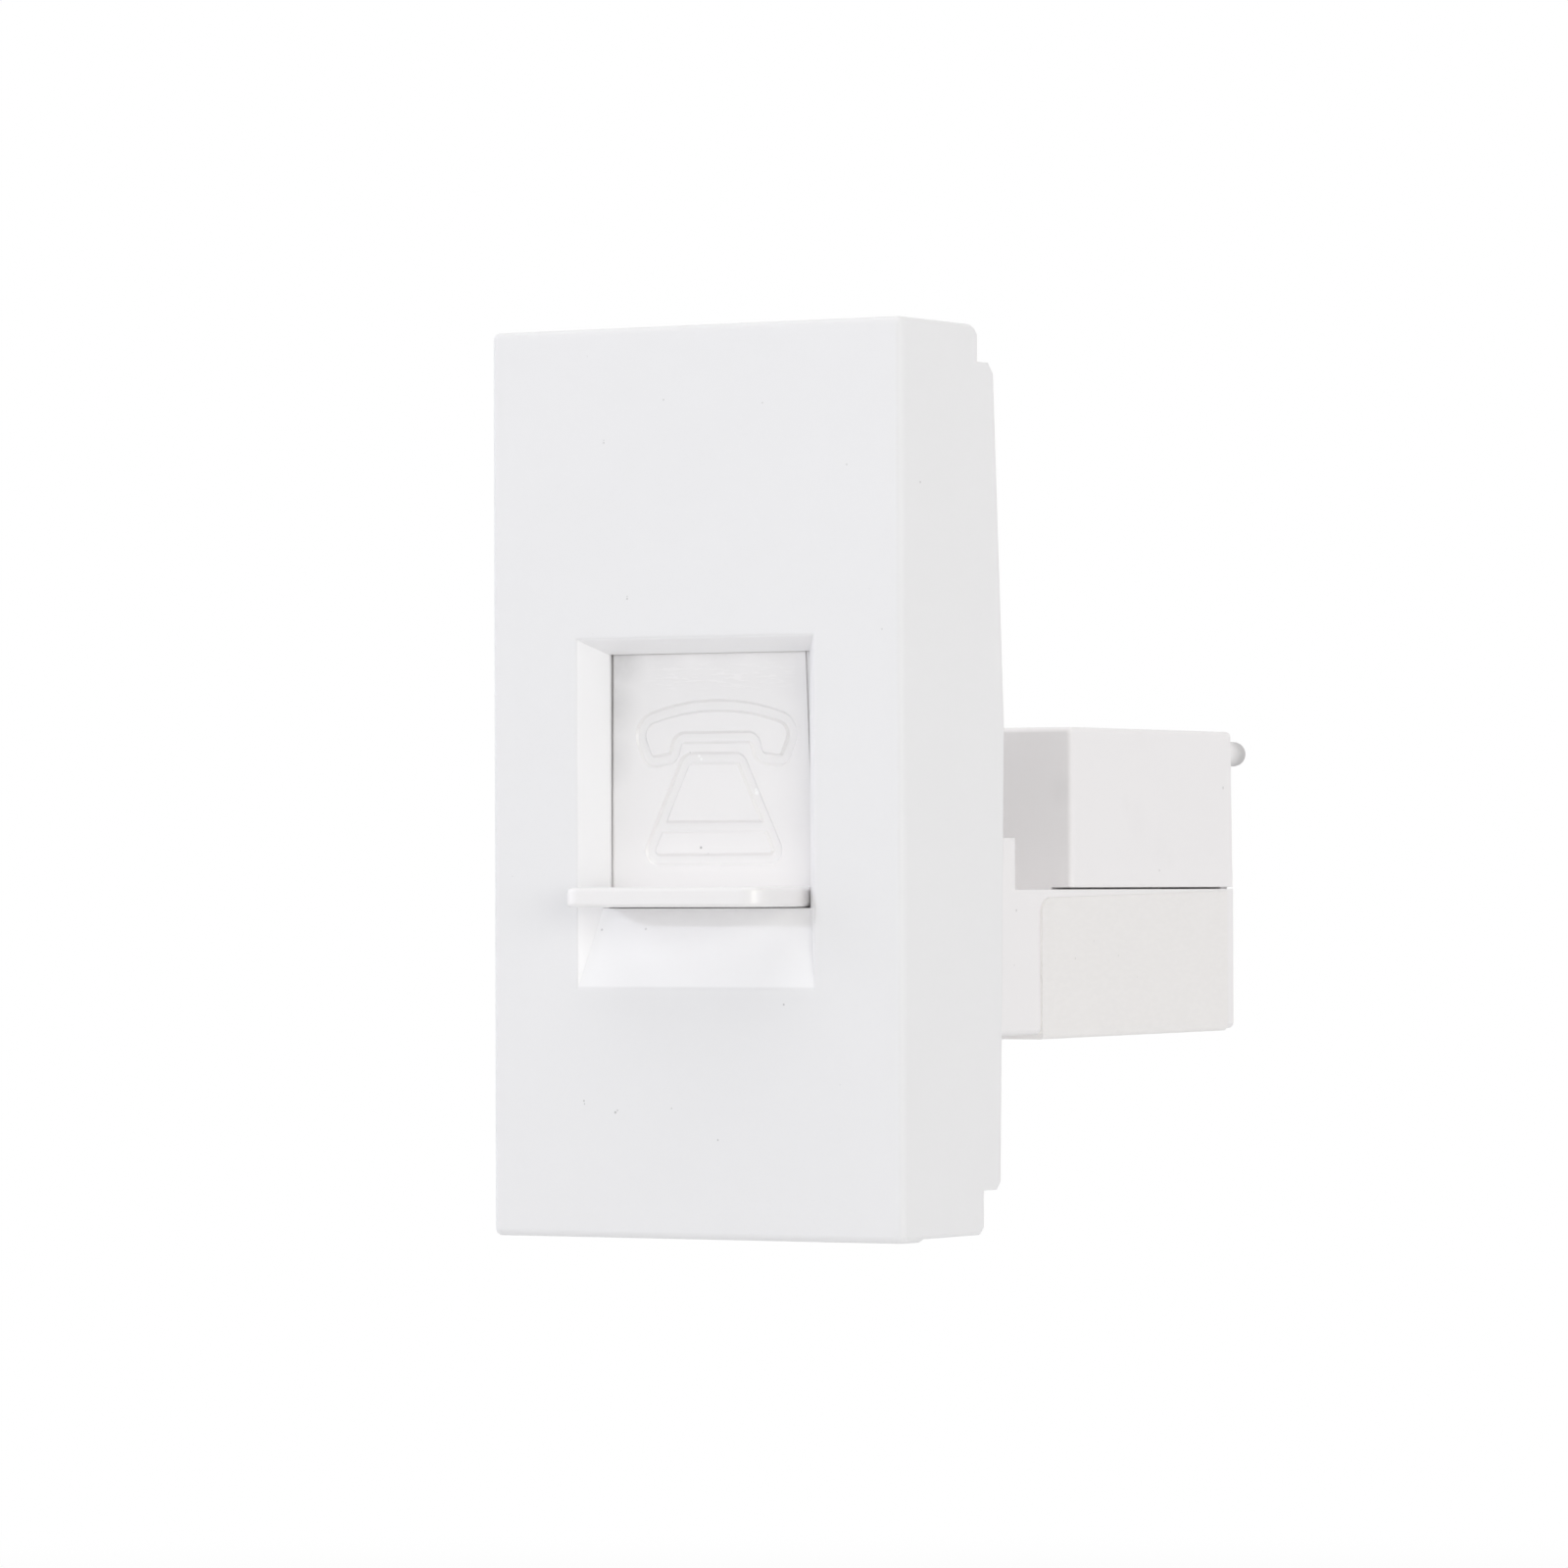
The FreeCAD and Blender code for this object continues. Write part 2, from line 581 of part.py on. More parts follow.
def jack_housing():
    block = centred_box(JACK_HALF, SKIN_BACK, BLOCK_BACK, BLOCK_BOTTOM, BLOCK_TOP)
    tub = centred_box(JACK_HALF, TUB_FRONT, TUB_REAR, TUB_BOTTOM, TUB_TOP)
    tub = filleted(
        tub,
        TUB_EDGE,
        lambda b: at(b.ZMin, b.ZMax, TUB_BOTTOM)
        or (at(b.YMin, b.YMax, TUB_REAR) and b.ZMax - b.ZMin > TUB_EDGE),
    )
    body = joined([block, tub] + both_sides(jack_ear()) + [jack_catch()])
    cavity_half = CAVITY_WIDTH / 2
    slot_half = LATCH_SLOT_WIDTH / 2
    slot_top = CAVITY_TOP + LATCH_SLOT_HEIGHT
    lip_back = SKIN_BACK + LATCH_LIP_DEPTH
    pocket_bottom = INSERT_BOTTOM - INSERT_CLEARANCE
    tongue_half = TONGUE_WIDTH / 2
    tongue_bottom = BLOCK_TOP - TONGUE_THICKNESS
    tongue_front = SKIN_BACK + TONGUE_ROOT
    slit = box(tongue_half, tongue_half + TONGUE_SLIT, tongue_front, BLOCK_BACK + OVER,
               tongue_bottom - TONGUE_UNDERCUT, BLOCK_TOP + CATCH_HEIGHT + OVER)
    cuts = [
        centred_box(cavity_half, SKIN_BACK - OVER, BLOCK_BACK + OVER, CAVITY_FLOOR, CAVITY_TOP),
        centred_box(slot_half, SKIN_BACK - OVER, INSERT_WALL_FRONT, CAVITY_TOP, CAVITY_TOP + LATCH_LIP_START),
        centred_box(LATCH_TONGUE_WIDTH / 2, SKIN_BACK - OVER, lip_back, CAVITY_TOP, slot_top),
        centred_box(slot_half, lip_back, INSERT_WALL_FRONT, CAVITY_TOP, slot_top),
        centred_box(cavity_half, SKIN_BACK + FRONT_SILL, BLOCK_BACK + OVER, pocket_bottom, CAVITY_FLOOR),
        centred_box(TUB_HALF_INSIDE, TUB_FRONT + TUB_WALL, TUB_INSIDE_REAR, TUB_FLOOR, pocket_bottom),
        centred_box(TUB_HALF_INSIDE, BLOCK_BACK, TUB_INSIDE_REAR, TUB_FLOOR, TUB_TOP + OVER),
        centred_box(tongue_half + TONGUE_SLIT, tongue_front, BLOCK_BACK + OVER,
                    tongue_bottom - TONGUE_UNDERCUT, tongue_bottom),
    ] + both_sides(slit)
    body = body.cut(cuts)
    wall_middle = TUB_HALF_INSIDE + TUB_WALL / 2
    floor_middle = TUB_FLOOR - TUB_WALL / 2
    shelf = box(TUB_HALF_INSIDE - SHELF_WIDTH, wall_middle, BLOCK_BACK, TUB_REAR - TUB_WALL / 2,
                BOARD_TOP, DECK_BOTTOM)
    front_rib = centred_box(wall_middle, BLOCK_BACK, BLOCK_BACK + BOARD_RIB, floor_middle, BOARD_BOTTOM)
    rear_rib = centred_box(wall_middle, TOWER_REAR, TOWER_REAR + BOARD_RIB, floor_middle, BOARD_BOTTOM)
    return joined([body] + both_sides(shelf) + [front_rib, rear_rib])


def spaced(count, pitch):
    """Places in a row about the middle."""
    return [(index - (count - 1) / 2) * pitch for index in range(count)]


def wire_places():
    return spaced(WIRE_COUNT, WIRE_PITCH)


def contact_insert():
    floor = centred_box(INSERT_HALF, INSERT_FRONT, BLOCK_BACK, INSERT_BOTTOM, INSERT_TOP)
    wall_top = CAVITY_TOP - INSERT_CLEARANCE
    wall = centred_box(INSERT_HALF, INSERT_WALL_FRONT, BLOCK_BACK, INSERT_BOTTOM, wall_top)
    body = joined([floor, wall])
    groove_bottom = WIRE_LEVEL - WIRE_SLOT / 2
    slots = []
    for x in wire_places():
        low = x - WIRE_SLOT / 2
        high = x + WIRE_SLOT / 2
        slots += [
            box(low, high, INSERT_FRONT + INSERT_CLEARANCE, INSERT_WALL_FRONT,
                groove_bottom, INSERT_TOP + OVER),
            box(low, high, WIRE_LEG_Y - WIRE_SLOT / 2, INSERT_WALL_FRONT,
                INSERT_BOTTOM - OVER, groove_bottom),
            box(low, high, INSERT_WALL_FRONT, INSERT_WALL_FRONT + COMB_DEPTH, INSERT_TOP, COMB_TOP),
        ]
    return body.cut(slots)


def contact_wire(x):
    """A sprung contact: up from the board, forward in the insert, then back and up into the cavity."""
    front_corner_y = INSERT_FRONT + WIRE_FRONT_REACH - WIRE_BEND - WIRE_DIAMETER
    points = [
        V(x, WIRE_LEG_Y, BOARD_BOTTOM - WIRE_TAIL),
        V(x, WIRE_LEG_Y, WIRE_LEVEL),
        V(x, front_corner_y, WIRE_LEVEL),
        V(x, INSERT_WALL_FRONT + WIRE_TIP_REACH, WIRE_TIP_Z),
    ]
    return rod_along(points, WIRE_DIAMETER / 2, WIRE_BEND)


def blade_places():
    """Centres of the blades: the outer ones to the front, the inner ones to the rear."""
    front_y = TOWER_FRONT + BLADE_FIRST
    return [
        (x, front_y + BLADE_STAGGER if abs(x) < BLADE_PITCH else front_y)
        for x in spaced(BLADE_COUNT, BLADE_PITCH)
    ]


def circuit_board():
    board = centred_box(BOARD_WIDTH / 2, BOARD_FRONT, BOARD_REAR, BOARD_BOTTOM, BOARD_TOP)
    holes = [(x, WIRE_LEG_Y, WIRE_HOLE / 2) for x in wire_places()]
    holes += [(x, y, TAIL_HOLE / 2) for x, y in blade_places()]
    drills = [
        Part.makeCylinder(radius, BOARD_THICKNESS + 2 * OVER, V(x, y, BOARD_BOTTOM - OVER))
        for x, y, radius in holes
    ]
    return board.cut(drills)


def idc_block():
    deck = centred_box(DECK_HALF, DECK_FRONT, DECK_REAR, DECK_BOTTOM, DECK_TOP)
    tower = centred_box(TOWER_WIDTH / 2, TOWER_FRONT, TOWER_REAR, DECK_BOTTOM, TOWER_TOP)
    middle = (TOWER_FRONT + TOWER_REAR) / 2
    half_length = TOWER_SNAP_LENGTH / 2
    side = TOWER_WIDTH / 2
    snap_z = (TOWER_TOP + DECK_TOP) / 2
    snap_profile = [
        (side - TOWER_SNAP, snap_z - TOWER_SNAP),
        (side, snap_z - TOWER_SNAP),
        (side + TOWER_SNAP, snap_z),
        (side, snap_z + TOWER_SNAP),
        (side - TOWER_SNAP, snap_z + TOWER_SNAP),
    ]
    snap = prism_along_y(snap_profile, middle - half_length, middle + half_length)
    body = joined([deck, tower] + both_sides(snap))
    half_channel = CHANNEL_WIDTH / 2
    half_slot = BLADE_WIDTH / 2 + BLADE_CLEARANCE
    half_gap = BLADE_THICKNESS / 2 + BLADE_CLEARANCE
    top = TOWER_TOP + OVER
    cuts = []
    for x, y in blade_places():
        cuts += [
            box(x - half_channel, x + half_channel, TOWER_FRONT - OVER, TOWER_REAR + OVER,
                TOWER_TOP - CHANNEL_DEPTH, top),
            box(x - half_slot, x + half_slot, y - half_gap, y + half_gap, DECK_BOTTOM - OVER, top),
        ]
    return body.cut(cuts)


def idc_blade(x, y):
    half = BLADE_WIDTH / 2
    slot = BLADE_SLOT / 2
    tail = BLADE_TAIL_WIDTH / 2
    top = TOWER_TOP - BLADE_TOP_GAP
    slot_floor = TOWER_TOP - CHANNEL_DEPTH
    mouth = half - slot - BLADE_CLEARANCE
    profile = [
        (x - tail, BOARD_BOTTOM - BLADE_TAIL_LENGTH),
        (x + tail, BOARD_BOTTOM - BLADE_TAIL_LENGTH),
        (x + tail, BOARD_TOP),
        (x + half, BOARD_TOP),
        (x + half, top),
        (x + slot + mouth / 2, top),
        (x + slot, top - mouth),
        (x + slot, slot_floor),
        (x - slot, slot_floor),
        (x - slot, top - mouth),
        (x - slot - mouth / 2, top),
        (x - half, top),
        (x - half, BOARD_TOP),
        (x - tail, BOARD_TOP),
    ]
    return prism_along_y(profile, y - BLADE_THICKNESS / 2, y + BLADE_THICKNESS / 2)


def cap_lug():
    """A short round-ended lug on the cap's rear wall."""
    root = CAP_REAR_TOP - CAP_WALL / 2
    tip = CAP_REAR_TOP + LUG_LENGTH
    lug = Part.makeCylinder(LUG_DIAMETER / 2, tip - root, V(LUG_X, root, LUG_Z), V(0, 1, 0))
    return filleted(lug, LUG_TIP_RADIUS, lambda b: at(b.YMin, b.YMax, tip))


def terminal_cap():
    outline = [
        (CAP_FRONT, CAP_BOTTOM),
        (CAP_FRONT, CAP_TOP),
        (CAP_REAR_TOP, CAP_TOP),
        (CAP_REAR_FOOT, CAP_BOTTOM),
    ]
    shell = prism_along_x(outline, -JACK_HALF, JACK_HALF)
    shell = filleted(shell, CAP_EDGE, lambda b: b.ZMax > CAP_BOTTOM + 0.001)
    inside_rear = TUB_INSIDE_REAR - CAP_FOOT_GAP
    inside = centred_box(JACK_HALF - CAP_WALL, CAP_FRONT + CAP_WALL, inside_rear,
                         CAP_BOTTOM - OVER, CAP_TOP - CAP_WALL)
    foot_top = CAP_BOTTOM + CAP_GAP
    front_foot = centred_box(DECK_HALF, CAP_FRONT, CAP_FRONT + CAP_WALL, DECK_TOP, foot_top)
    rear_foot = centred_box(JACK_HALF - CAP_EDGE, TUB_INSIDE_REAR, CAP_REAR_FOOT - CAP_EDGE,
                            TUB_TOP, foot_top)
    body = joined([shell.cut(inside), front_foot, rear_foot] + both_sides(cap_lug()))
    arch_radius = CABLE_WIDTH / 2
    arch_centre = CABLE_ARCH_TOP - arch_radius
    cut_front = inside_rear - OVER
    cut_back = CAP_REAR_FOOT + OVER
    arch = Part.makeCylinder(arch_radius, cut_back - cut_front, V(0, cut_front, arch_centre), V(0, 1, 0))
    throat = centred_box(arch_radius, cut_front, cut_back, TUB_TOP - OVER, arch_centre)
    return body.cut([arch, throat])


def wiring_label():
    """A thin label wrapped under the tub, from one side to the other, a little loose at the front."""
    outer = JACK_HALF + LABEL_THICKNESS
    lowest = TUB_BOTTOM - LABEL_THICKNESS - LABEL_SAG
    outline = [
        (LABEL_FRONT, LABEL_TOP_FRONT),
        (LABEL_REAR, LABEL_TOP_REAR),
        (LABEL_REAR, TUB_BOTTOM - LABEL_THICKNESS),
        (LABEL_FRONT + 2 * LABEL_SAG, lowest),
        (LABEL_FRONT, TUB_BOTTOM),
    ]
    wrap = prism_along_x(outline, -outer, outer)
    wrap = filleted(
        wrap,
        LABEL_CORNER,
        lambda b: at(b.YMin, b.YMax, LABEL_FRONT) and at(b.ZMin, b.ZMax, LABEL_TOP_FRONT),
    )
    core = centred_box(JACK_HALF, LABEL_FRONT - OVER, LABEL_REAR + OVER, TUB_BOTTOM, TUB_TOP + OVER)
    core = filleted(core, TUB_EDGE, lambda b: at(b.ZMin, b.ZMax, TUB_BOTTOM) and b.XMax - b.XMin < 0.001)
    wrap = filleted(
        wrap,
        TUB_EDGE,
        lambda b: b.ZMax < TUB_BOTTOM - LABEL_THICKNESS + 0.001 and b.YMax - b.YMin > 0.001
        and b.XMax - b.XMin < 0.001,
    )
    return wrap.cut(core)


def write(name, shape):
    shape.exportStep("parts/" + name + ".step")


def main():
    os.makedirs("parts", exist_ok=True)
    write("front_plate", front_plate())
    write("shutter", shutter())
    write("shutter_spring_left", shutter_spring(-1))
    write("shutter_spring_right", shutter_spring(1))
    write("jack_carrier", jack_carrier())
    write("jack_housing", jack_housing())
    write("contact_insert", contact_insert())
    for number, x in enumerate(wire_places(), start=1):
        write("contact_wire_%d" % number, contact_wire(x))
    write("circuit_board", circuit_board())
    write("idc_block", idc_block())
    for number, (x, y) in enumerate(blade_places(), start=1):
        write("idc_blade_%d" % number, idc_blade(x, y))
    write("terminal_cap", terminal_cap())
    write("wiring_label", wiring_label())


main()
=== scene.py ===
import json
import math
import bpy
from mathutils import Matrix, Vector


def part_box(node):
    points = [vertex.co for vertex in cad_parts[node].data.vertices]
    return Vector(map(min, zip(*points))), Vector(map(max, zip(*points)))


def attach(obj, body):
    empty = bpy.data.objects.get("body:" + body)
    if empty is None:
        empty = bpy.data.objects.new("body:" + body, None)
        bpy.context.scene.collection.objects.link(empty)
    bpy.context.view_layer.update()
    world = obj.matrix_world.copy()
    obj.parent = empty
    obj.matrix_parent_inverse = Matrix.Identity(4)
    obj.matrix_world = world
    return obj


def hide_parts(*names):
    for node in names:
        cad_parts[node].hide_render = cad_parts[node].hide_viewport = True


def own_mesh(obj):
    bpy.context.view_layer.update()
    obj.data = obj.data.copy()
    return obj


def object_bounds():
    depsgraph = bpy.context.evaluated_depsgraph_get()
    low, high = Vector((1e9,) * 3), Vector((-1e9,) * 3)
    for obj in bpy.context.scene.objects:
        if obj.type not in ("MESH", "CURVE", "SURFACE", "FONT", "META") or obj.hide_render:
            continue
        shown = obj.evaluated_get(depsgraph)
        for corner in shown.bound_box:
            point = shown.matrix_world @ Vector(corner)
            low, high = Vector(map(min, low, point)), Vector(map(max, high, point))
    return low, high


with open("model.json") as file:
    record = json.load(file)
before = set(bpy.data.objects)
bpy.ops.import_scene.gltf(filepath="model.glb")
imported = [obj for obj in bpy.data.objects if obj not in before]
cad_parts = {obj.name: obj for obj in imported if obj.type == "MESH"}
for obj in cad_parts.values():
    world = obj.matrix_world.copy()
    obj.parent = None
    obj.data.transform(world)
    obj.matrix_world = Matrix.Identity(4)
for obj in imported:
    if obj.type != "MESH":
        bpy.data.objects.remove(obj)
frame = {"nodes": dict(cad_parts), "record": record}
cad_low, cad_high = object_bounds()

# Telephone wall socket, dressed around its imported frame. Metres, in the frame's own axes.

MM = 0.001
WHITE = (1.0, 1.0, 1.0, 1.0)

# Camera: the photo's viewing angle, worked out from the plate's edges
CAMERA_AZIMUTH = 30.67
CAMERA_ELEVATION = -0.73
CAMERA_ROLL = -0.18
CAMERA_DISTANCE = 406.0 * MM
CAMERA_RIGHT = 4.41 * MM
CAMERA_UP = -0.11 * MM
CAMERA_NEAREST = 0.01
CAMERA_FURTHEST = 50.0
SENSOR = 36.0
FOCAL_LENGTH = 189.6

# Floor and surroundings
FLOOR_DROP = 45 * MM
FLOOR_SIZE = 6.0
FLOOR_CLOUD_SCALE = 40.0
FLOOR_DARKER = (0.93, 0.93, 0.93, 1.0)
FLOOR_PALER = (0.95, 0.95, 0.95, 1.0)
FLOOR_MELT_START = 0.1
FLOOR_MELT_END = 0.4
WORLD_STRENGTH = 0.31

# Lamps: name, azimuth from the front towards +X, elevation, distance, size of the square lamp, colour
# and watts
LAMPS = [
    ("key", -25, 11, 0.9, 0.03, (0.94, 0.98, 1.08), 0.8),
    ("overhead", 0, 80, 0.7, 0.7, (1.01, 1.0, 0.99), 2.5),
    ("left", -70, 15, 0.7, 0.6, (0.98, 0.98, 1.04), 1.6),
    ("right_front", 50, 5, 0.8, 0.4, (1.02, 1.02, 0.94), 1.9),
    ("right_low", 75, -3, 0.7, 0.4, (0.94, 0.94, 1.1), 0.6),
    ("behind_right", 130, 10, 0.7, 0.5, (1.0, 1.0, 1.0), 0.68),
]


def direction_to(azimuth, elevation):
    """From the object towards a place seen at that azimuth and elevation, in radians."""
    level = math.cos(elevation)
    return Vector((math.sin(azimuth) * level, -math.cos(azimuth) * level, math.sin(elevation)))


def axes_of_view():
    """The picture's right and up, and the direction from the object back to the camera."""
    azimuth = math.radians(CAMERA_AZIMUTH)
    elevation = math.radians(CAMERA_ELEVATION)
    roll = math.radians(CAMERA_ROLL)
    back = direction_to(azimuth, elevation)
    right = Vector((math.cos(azimuth), math.sin(azimuth), 0))
    up = back.cross(right)
    turned_right = right * math.cos(roll) + up * math.sin(roll)
    turned_up = up * math.cos(roll) - right * math.sin(roll)
    return turned_right, turned_up, back


def add_object(name, data):
    added = bpy.data.objects.new(name, data)
    bpy.context.scene.collection.objects.link(added)
    return added


def make_camera():
    right, up, back = axes_of_view()
    data = bpy.data.cameras.new("photo_camera")
    data.sensor_width = SENSOR
    data.lens = FOCAL_LENGTH
    data.clip_start = CAMERA_NEAREST
    data.clip_end = CAMERA_FURTHEST
    camera = add_object("photo_camera", data)
    place = back * CAMERA_DISTANCE + right * CAMERA_RIGHT + up * CAMERA_UP
    turn = Matrix((right, up, back)).transposed().to_4x4()
    camera.matrix_world = Matrix.Translation(place) @ turn
    bpy.context.scene.camera = camera


# Where a spot keeps its full strength, as a share of its radius
MARK_CORE = 0.4
SMUDGE_AND_SHADE_CORE = 0.1

# Detail of the noises
PLAIN = 2.0
MEDIUM = 3.0
RICH = 4.0


class Nodes:
    """A short way to write a node tree: each method adds nodes and gives back what they put out."""

    def __init__(self, tree):
        self.tree = tree
        tree.nodes.clear()

    def add(self, kind, settings=None, inputs=None):
        node = self.tree.nodes.new(kind)
        for key, value in (settings or {}).items():
            setattr(node, key, value)
        for key, value in (inputs or {}).items():
            if isinstance(value, bpy.types.NodeSocket):
                self.tree.links.new(value, node.inputs[key])
            else:
                node.inputs[key].default_value = value
        return node

    def object_place(self):
        return self.add("ShaderNodeTexCoord").outputs["Object"]

    def axes(self, where):
        return self.add("ShaderNodeSeparateXYZ", None, {0: where}).outputs

    def math(self, operation, first, second=0.0):
        return self.add("ShaderNodeMath", {"operation": operation}, {0: first, 1: second}).outputs[0]

    def times(self, first, second):
        return self.math("MULTIPLY", first, second)

    def ramp(self, value, low, high, to_low=0.0, to_high=1.0):
        """A smooth step from to_low at low to to_high at high."""
        inputs = {"Value": value, "From Min": low, "From Max": high, "To Min": to_low, "To Max": to_high}
        return self.add("ShaderNodeMapRange", {"interpolation_type": "SMOOTHSTEP"}, inputs).outputs[0]

    def between(self, value, low, high, soft):
        """1 inside the range, fading to 0 over the soft width at both ends."""
        rising = self.ramp(value, low - soft, low + soft)
        falling = self.ramp(value, high - soft, high + soft, 1.0, 0.0)
        return self.times(rising, falling)

    def noise(self, where, scale, detail):
        inputs = {"Vector": where, "Scale": scale, "Detail": detail}
        return self.add("ShaderNodeTexNoise", None, inputs).outputs["Fac"]

    def stretched(self, where, factors):
        inputs = {0: where, 1: factors}
        return self.add("ShaderNodeVectorMath", {"operation": "MULTIPLY"}, inputs).outputs[0]

    def mix(self, share, first, second):
        return self.add("ShaderNodeMix", {"data_type": "RGBA"}, {0: share, 6: first, 7: second}).outputs[2]

    def spot(self, where, place, radius, core):
        """1 at the place, fading to 0 at the radius."""
        inputs = {0: where, 1: tuple(c * MM for c in place)}
        distance = self.add("ShaderNodeVectorMath", {"operation": "DISTANCE"}, inputs).outputs["Value"]
        return self.ramp(distance, radius * MM * core, radius * MM, 1.0, 0.0)

    def spots(self, where, places, core=MARK_CORE):
        """The strongest of many spots; each row says x, y, z, radius and strength."""
        total = 0.0
        for x, y, z, radius, strength in places:
            one = self.times(self.spot(where, (x, y, z), radius, core), strength)
            total = self.math("MAXIMUM", one, total)
        return total

    def soft_edges(self):
        """Moulded and cut edges are never razor sharp: a normal that rounds them a little."""
        return self.add("ShaderNodeBevel", {"samples": EDGE_SAMPLES}, {"Radius": EDGE_SOFTNESS}).outputs[0]

    def bump(self, height, strength, depth, normal=None):
        inputs = {"Strength": strength, "Distance": depth, "Height": height}
        if normal is not None:
            inputs["Normal"] = normal
        return self.add("ShaderNodeBump", None, inputs).outputs[0]

    def surface(self, tone, roughness, normal, more=None):
        inputs = {"Base Color": tone, "Roughness": roughness, "Normal": normal}
        inputs.update(more or {})
        shader = self.add("ShaderNodeBsdfPrincipled", None, inputs)
        self.add("ShaderNodeOutputMaterial", None, {"Surface": shader.outputs[0]})

    def white_rays(self):
        """1 for the rays that show the white studio: straight, mirrored or passed through."""
        path = self.add("ShaderNodeLightPath").outputs
        mirrored = self.math("MAXIMUM", path["Is Glossy Ray"], path["Is Transmission Ray"])
        return self.math("MAXIMUM", path["Is Camera Ray"], mirrored)


def new_material(name):
    material = bpy.data.materials.new(name)
    material.use_nodes = True
    return material, Nodes(material.node_tree)


def shade(colour, factor):
    return tuple(c * factor for c in colour) + (1.0,)


def make_world():
    world = bpy.data.worlds.new("studio")
    bpy.context.scene.world = world
    world.use_nodes = True
    nodes = Nodes(world.node_tree)
    light = nodes.add("ShaderNodeBackground", None, {"Color": WHITE, "Strength": WORLD_STRENGTH})
    backdrop = nodes.add("ShaderNodeBackground", None, {"Color": WHITE, "Strength": 1.0})
    share = nodes.white_rays()
    mix = nodes.add("ShaderNodeMixShader", None, {0: share, 1: light.outputs[0], 2: backdrop.outputs[0]})
    nodes.add("ShaderNodeOutputWorld", None, {"Surface": mix.outputs[0]})


def make_floor():
    """Pale paper that keeps the object's shadow near it and melts into the white backdrop further out."""
    low = cad_low.z - FLOOR_DROP
    half = FLOOR_SIZE / 2
    corners = [(-half, -half, low), (half, -half, low), (half, half, low), (-half, half, low)]
    mesh = bpy.data.meshes.new("floor")
    mesh.from_pydata(corners, [], [(0, 1, 2, 3)])
    floor = add_object("floor", mesh)
    material, nodes = new_material("floor_paper")
    where = nodes.object_place()
    tone = nodes.mix(nodes.noise(where, FLOOR_CLOUD_SCALE, RICH), FLOOR_DARKER, FLOOR_PALER)
    paper_sheet = nodes.add("ShaderNodeBsdfDiffuse", None, {"Color": tone})
    level = nodes.stretched(where, (1.0, 1.0, 0.0))
    away = nodes.add("ShaderNodeVectorMath", {"operation": "LENGTH"}, {0: level}).outputs["Value"]
    melt = nodes.times(nodes.white_rays(), nodes.ramp(away, FLOOR_MELT_START, FLOOR_MELT_END))
    white = nodes.add("ShaderNodeEmission", None, {"Color": WHITE, "Strength": 1.0})
    both = nodes.add("ShaderNodeMixShader", None, {0: melt, 1: paper_sheet.outputs[0], 2: white.outputs[0]})
    nodes.add("ShaderNodeOutputMaterial", None, {"Surface": both.outputs[0]})
    floor.data.materials.append(material)


def make_lamps():
    middle = (cad_low + cad_high) / 2
    for name, azimuth, elevation, distance, size, colour, power in LAMPS:
        data = bpy.data.lights.new(name, "AREA")
        data.shape = "SQUARE"
        data.size = size
        data.color = colour
        data.energy = power
        lamp = add_object(name, data)
        away = direction_to(math.radians(azimuth), math.radians(elevation))
        lamp.location = middle + away * distance
        lamp.rotation_mode = "QUATERNION"
        lamp.rotation_quaternion = (-away).to_track_quat("-Z", "Y")


# Materials of the real object. A shade is a factor on the piece's own colour, a share is how far it
# mixes in.

EDGE_SOFTNESS = 0.05 * MM
EDGE_SAMPLES = 4
CLOUD_RANGE = (0.3, 0.7)
MARK_SHADE = 0.4

# Moulded plastic: clouds, spark grain, dust grains, smudges and painted shade, nicks and the shutter's
# glossy skin
PLASTIC_CLOUD_SCALE = 90.0
PLASTIC_CLOUD_SHADE = 0.992
GRAIN_SCALE = 5500.0
GRAIN_RANGE = (0.25, 0.75)
GRAIN_SHARE = 0.5
GRAIN_SHADE = 1.012
GRAIN_GLOSS = 0.02
GRAIN_STRENGTH = 0.5
GRAIN_DEPTH = 0.006 * MM
DUST_CELLS = 700.0
DUST_CHOSEN = 0.88
DUST_CORE = 0.015
DUST_EDGE = 0.035
DUST_SHARE = 0.2
SMUDGE_AND_SHADE_SCALE = 2600.0
SMUDGE_AND_SHADE_RANGE = (0.35, 0.65)
SMUDGE_AND_SHADE_LEAST = 0.88
SMUDGE_AND_SHADE_FACTOR = 0.6
NICK_COLOUR = (0.98, 0.98, 0.98, 1.0)
COAT_ROUGHNESS = 0.14

# Window of the plate: just behind the face, its ramp and bevels are glossier than the face and painted
# paler, as painted light
RECESS_PAINTED_LIGHT = 1.13
RECESS_POLISH = 0.09
RECESS_START = 0.02 * MM
RECESS_FULL = 0.06 * MM
RECESS_SOFTNESS = 0.05 * MM
RECESS_HALF_WIDTH = 6.9 * MM
RECESS_LOW = -10.4 * MM
RECESS_HIGH = 7.2 * MM
RAMP_TOP = -6.2 * MM
BEVEL_SHARE = 0.5

# Shutter: its panel lies behind PANEL_START, its ledge in front. Heights where its painted shade (upper
# part) and painted light (lower part) start and are full, then the box of its scuffs
PANEL_START = 1.0 * MM
PANEL_FULL = 1.3 * MM
PAINTED_SHADE_START = -1.0 * MM
PAINTED_SHADE_FULL = 3.5 * MM
PAINTED_SHADE_FACTOR = 0.97
PAINTED_LIGHT_START = -1.5 * MM
PAINTED_LIGHT_FULL = -4.5 * MM
PAINTED_LIGHT_FACTOR = 1.07
SCUFF_STRETCH = (0.25, 1.0, 1.6)
SCUFF_SCALE = 4200.0
SCUFF_RANGE = (0.52, 0.62)
SCUFF_LEFT = -3.4 * MM
SCUFF_RIGHT = 4.6 * MM
SCUFF_LOW = 4.6 * MM
SCUFF_HIGH = 5.7 * MM
SCUFF_FADE_ACROSS = 1.2 * MM
SCUFF_FADE_UP = 0.5 * MM
SCUFF_HEIGHT = 2.0
SCUFF_SHARE = 0.35
SCUFF_SHADE = 1.06

